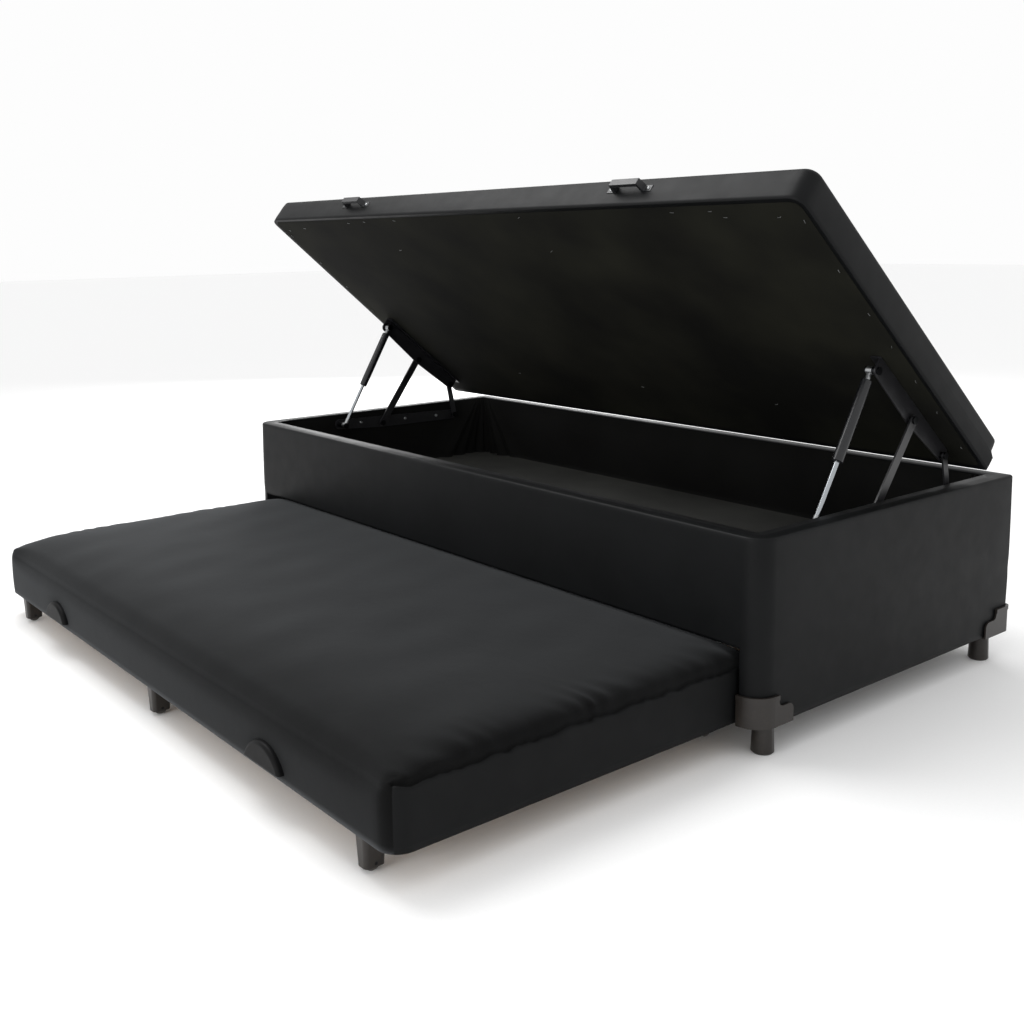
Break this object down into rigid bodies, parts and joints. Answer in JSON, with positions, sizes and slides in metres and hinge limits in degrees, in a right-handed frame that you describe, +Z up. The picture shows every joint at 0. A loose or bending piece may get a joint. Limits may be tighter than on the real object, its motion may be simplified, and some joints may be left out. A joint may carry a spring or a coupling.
{
  "type": "storage bed with trundle",
  "caption": "Low single bed box with a storage well under a padded lid that lifts on gas struts, and a trundle bed that rolls out of its front.",
  "frame": {"origin": "on the floor, at the middle of the bed's length, midway between the guards at the back of the box and the pulls on the front of the rolled-out trundle", "axes": "+X along the bed's length, the trundle rolls out towards -Y, +Z up"},
  "size_m": [1.891, 1.6626, 1.0679],
  "materials": {
    "leatherette": "smooth black synthetic leather, satin",
    "suede_cloth": "dark grey suede-like upholstery cloth",
    "timber": "sawn softwood",
    "fibreboard": "pressed fibreboard",
    "lining_cloth": "black non-woven lining",
    "wadding": "light polyurethane foam",
    "black_steel": "black powder coat",
    "zinc_plated_steel": "bright zinc plate",
    "chromed_rod": "hard chromed and ground",
    "guard_plastic": "moulded dark grey plastic",
    "handle_plastic": "moulded black plastic",
    "wheel_nylon": "grey nylon"
  },
  "bodies": {
    "base": {"box_cover": "leatherette", "end_panel_left": "timber", "end_panel_right": "timber", "front_panel": "timber", "back_panel": "timber", "floor_ledges": "timber", "floor_bearers": "timber", "storage_floor": "fibreboard", "storage_liner": "lining_cloth", "corner_guards": "guard_plastic", "box_feet": "guard_plastic", "foot_studs": "zinc_plated_steel", "wall_plate_left": "black_steel", "wall_plate_right": "black_steel", "lower_pins": "zinc_plated_steel"},
    "front_arm_left": {"front_arm_left": "black_steel"},
    "front_arm_right": {"front_arm_right": "black_steel"},
    "rear_link_left": {"rear_link_left": "black_steel", "link_pin_left": "zinc_plated_steel"},
    "rear_link_right": {"rear_link_right": "black_steel", "link_pin_right": "zinc_plated_steel"},
    "lid": {"lid_cover": "leatherette", "lid_side_rails": "timber", "lid_cross_rails": "timber", "lid_deck": "fibreboard", "lid_pad": "wadding", "lid_lining": "lining_cloth", "lid_handle_left": "handle_plastic", "lid_handle_right": "handle_plastic", "lid_web_left": "black_steel", "lid_web_right": "black_steel", "upper_pins": "zinc_plated_steel"},
    "strut_rod_left": {"strut_rod_left": "chromed_rod", "rod_socket_left": "zinc_plated_steel"},
    "strut_rod_right": {"strut_rod_right": "chromed_rod", "rod_socket_right": "zinc_plated_steel"},
    "strut_tube_left": {"strut_tube_left": "black_steel", "tube_socket_left": "zinc_plated_steel", "tube_stud_left": "zinc_plated_steel"},
    "strut_tube_right": {"strut_tube_right": "black_steel", "tube_socket_right": "zinc_plated_steel", "tube_stud_right": "zinc_plated_steel"},
    "trundle": {"trundle_band": "leatherette", "trundle_side_rails": "timber", "trundle_end_rails": "timber", "trundle_slats": "timber", "trundle_deck": "fibreboard", "trundle_pad": "wadding", "trundle_top": "suede_cloth", "trundle_pull_left": "handle_plastic", "trundle_pull_right": "handle_plastic", "caster_hoods": "guard_plastic", "caster_axles": "zinc_plated_steel"},
    "wheel_front_left": {"wheel_front_left": "wheel_nylon"},
    "wheel_front_middle": {"wheel_front_middle": "wheel_nylon"},
    "wheel_front_right": {"wheel_front_right": "wheel_nylon"},
    "wheel_rear_left": {"wheel_rear_left": "wheel_nylon"},
    "wheel_rear_middle": {"wheel_rear_middle": "wheel_nylon"},
    "wheel_rear_right": {"wheel_rear_right": "wheel_nylon"}
  },
  "joints": [
    {"name": "lid_lift", "type": "hinge", "parent": "base", "child": "front_arm_left", "pos_m": [-0.883, 0.36191, 0.38026], "axis": [1, 0, 0], "range_deg": [-51.55, 0], "stiffness_Nm_per_rad": 60, "springref_deg": 126.05},
    {"name": "lid_on_front_arm", "type": "hinge", "parent": "front_arm_left", "child": "lid", "pos_m": [-0.883, 0.50174, 0.57038], "axis": [1, 0, 0], "range_deg": [0, 91.65]},
    {"name": "front_arm_right_swing", "type": "hinge", "parent": "base", "child": "front_arm_right", "pos_m": [0.883, 0.36191, 0.38026], "axis": [1, 0, 0], "range_deg": [-51.55, 0]},
    {"name": "rear_link_left_swing", "type": "hinge", "parent": "base", "child": "rear_link_left", "pos_m": [-0.883, 0.64816, 0.37764], "axis": [1, 0, 0], "range_deg": [-89.97, 0]},
    {"name": "strut_left_swing", "type": "hinge", "parent": "base", "child": "strut_rod_left", "pos_m": [-0.8583, 0.20575, 0.39], "axis": [1, 0, 0], "range_deg": [-58.1, 0]},
    {"name": "strut_left_slide", "type": "slide", "parent": "strut_rod_left", "child": "strut_tube_left", "axis": [0, 0.5096, 0.8604], "range_m": [-0.11321, 0]},
    {"name": "rear_link_right_swing", "type": "hinge", "parent": "base", "child": "rear_link_right", "pos_m": [0.883, 0.64816, 0.37764], "axis": [1, 0, 0], "range_deg": [-89.97, 0]},
    {"name": "strut_right_swing", "type": "hinge", "parent": "base", "child": "strut_rod_right", "pos_m": [0.8583, 0.20575, 0.39], "axis": [1, 0, 0], "range_deg": [-58.1, 0]},
    {"name": "strut_right_slide", "type": "slide", "parent": "strut_rod_right", "child": "strut_tube_right", "axis": [0, 0.5096, 0.8604], "range_m": [-0.11321, 0]},
    {"name": "trundle_roll", "type": "slide", "parent": "base", "child": "trundle", "axis": [0, 1, 0], "range_m": [0, 0.765]},
    {"name": "wheel_front_left_spin", "type": "hinge", "parent": "trundle", "child": "wheel_front_left", "pos_m": [-0.79, -0.79225, 0.015], "axis": [1, 0, 0], "continuous": true},
    {"name": "wheel_front_middle_spin", "type": "hinge", "parent": "trundle", "child": "wheel_front_middle", "pos_m": [0, -0.79225, 0.015], "axis": [1, 0, 0], "continuous": true},
    {"name": "wheel_front_right_spin", "type": "hinge", "parent": "trundle", "child": "wheel_front_right", "pos_m": [0.79, -0.79225, 0.015], "axis": [1, 0, 0], "continuous": true},
    {"name": "wheel_rear_left_spin", "type": "hinge", "parent": "trundle", "child": "wheel_rear_left", "pos_m": [-0.79, -0.02625, 0.015], "axis": [1, 0, 0], "continuous": true},
    {"name": "wheel_rear_middle_spin", "type": "hinge", "parent": "trundle", "child": "wheel_rear_middle", "pos_m": [0, -0.02625, 0.015], "axis": [1, 0, 0], "continuous": true},
    {"name": "wheel_rear_right_spin", "type": "hinge", "parent": "trundle", "child": "wheel_rear_right", "pos_m": [0.79, -0.02625, 0.015], "axis": [1, 0, 0], "continuous": true}
  ],
  "couplings": [
    {"joint": "lid_on_front_arm", "follows": "lid_lift", "ratio": -1.778},
    {"joint": "front_arm_right_swing", "follows": "lid_lift", "ratio": 1},
    {"joint": "rear_link_left_swing", "follows": "lid_lift", "ratio": 1.7454},
    {"joint": "strut_left_swing", "follows": "lid_lift", "ratio": 1.1271},
    {"joint": "strut_left_slide", "follows": "lid_lift", "m_per_rad": 0.12582},
    {"joint": "rear_link_right_swing", "follows": "lid_lift", "ratio": 1.7454},
    {"joint": "strut_right_swing", "follows": "lid_lift", "ratio": 1.1271},
    {"joint": "strut_right_slide", "follows": "lid_lift", "m_per_rad": 0.12582}
  ]
}
